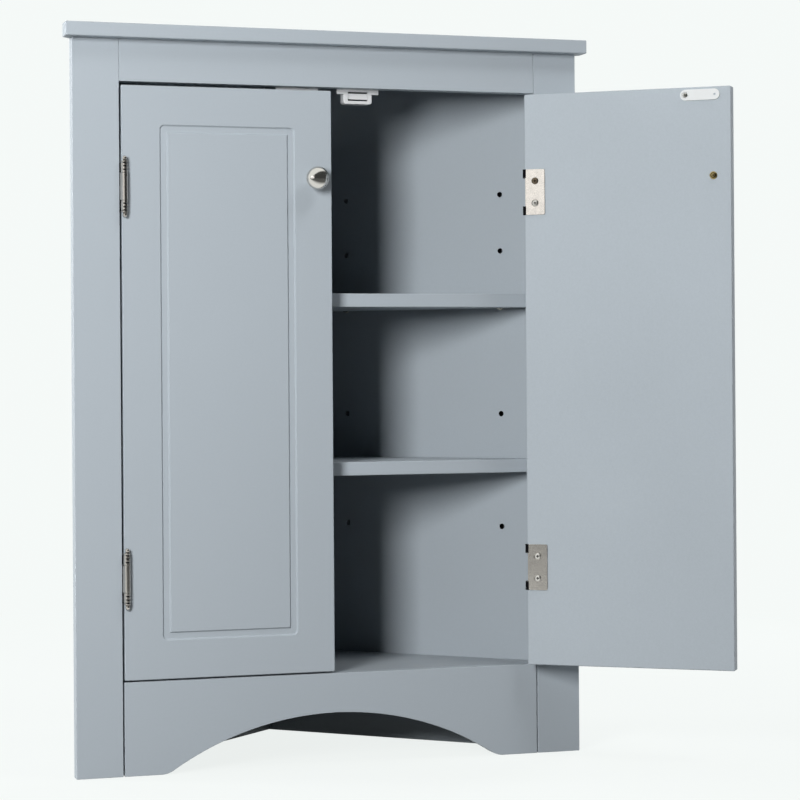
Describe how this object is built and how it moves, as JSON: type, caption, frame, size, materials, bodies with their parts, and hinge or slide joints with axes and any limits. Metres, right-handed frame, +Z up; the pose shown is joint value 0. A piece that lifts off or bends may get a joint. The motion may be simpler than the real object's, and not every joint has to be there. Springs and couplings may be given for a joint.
{
  "type": "corner cupboard",
  "caption": "Corner cupboard with hinged panelled doors, loose shelves on pins, magnetic catches and an arched foot rail, made to stand in the corner of a room.",
  "frame": {"origin": "on the floor, at the middle of the thickness of the side panel that reaches the room corner", "axes": "+Z up, +X to the right seen from the front, +Y back from the doors towards the room corner"},
  "size_m": [0.7126, 0.4587, 0.8],
  "materials": {
    "painted_board": "satin pale blue-grey paint on fibreboard",
    "nickel": "satin nickel plate",
    "bright_nickel": "bright nickel plate",
    "zinc_steel": "zinc plate",
    "brass": "yellow passivated",
    "white_plastic": "moulded",
    "white_steel": "white paint",
    "magnet_steel": "dark"
  },
  "bodies": {
    "carcass": {"top_panel": "painted_board", "floor_panel": "painted_board", "top_rail": "painted_board", "foot_rail": "painted_board", "upper_shelf": "painted_board", "lower_shelf": "painted_board", "left_side_panel": "painted_board", "right_side_panel": "painted_board", "left_stile": "painted_board", "right_stile": "painted_board", "left_catch_housing": "white_plastic", "right_catch_housing": "white_plastic", "left_catch_magnet": "magnet_steel", "right_catch_magnet": "magnet_steel", "upper_shelf_pin_left_front": "zinc_steel", "upper_shelf_pin_left_rear": "zinc_steel", "upper_shelf_pin_right_front": "zinc_steel", "upper_shelf_pin_right_rear": "zinc_steel", "lower_shelf_pin_left_front": "zinc_steel", "lower_shelf_pin_left_rear": "zinc_steel", "lower_shelf_pin_right_front": "zinc_steel", "lower_shelf_pin_right_rear": "zinc_steel", "left_upper_frame_leaf": "nickel", "left_lower_frame_leaf": "nickel", "right_upper_frame_leaf": "nickel", "right_lower_frame_leaf": "nickel", "left_upper_frame_screw_top": "nickel", "left_upper_frame_screw_bottom": "nickel", "left_lower_frame_screw_top": "nickel", "left_lower_frame_screw_bottom": "nickel", "right_upper_frame_screw_top": "nickel", "right_upper_frame_screw_bottom": "nickel", "right_lower_frame_screw_top": "nickel", "right_lower_frame_screw_bottom": "nickel"},
    "left_door": {"left_door": "painted_board", "left_knob": "bright_nickel", "left_knob_screw": "brass", "left_strike_plate": "white_steel", "left_strike_screw": "zinc_steel", "left_upper_door_leaf": "nickel", "left_lower_door_leaf": "nickel", "left_upper_hinge_pin": "nickel", "left_lower_hinge_pin": "nickel", "left_upper_door_screw_top": "nickel", "left_upper_door_screw_bottom": "nickel", "left_lower_door_screw_top": "nickel", "left_lower_door_screw_bottom": "nickel"},
    "right_door": {"right_door": "painted_board", "right_knob": "bright_nickel", "right_knob_screw": "brass", "right_strike_plate": "white_steel", "right_strike_screw": "zinc_steel", "right_upper_door_leaf": "nickel", "right_lower_door_leaf": "nickel", "right_upper_hinge_pin": "nickel", "right_lower_hinge_pin": "nickel", "right_upper_door_screw_top": "nickel", "right_upper_door_screw_bottom": "nickel", "right_lower_door_screw_top": "nickel", "right_lower_door_screw_bottom": "nickel"}
  },
  "joints": [
    {"name": "left_door_hinge", "type": "hinge", "parent": "carcass", "child": "left_door", "pos_m": [-0.2311, -0.29651, 0.419], "axis": [0, 0, -1], "range_deg": [0, 180]},
    {"name": "right_door_hinge", "type": "hinge", "parent": "carcass", "child": "right_door", "pos_m": [0.2311, -0.29651, 0.419], "axis": [0, 0, 1], "range_deg": [-143, 37]}
  ]
}
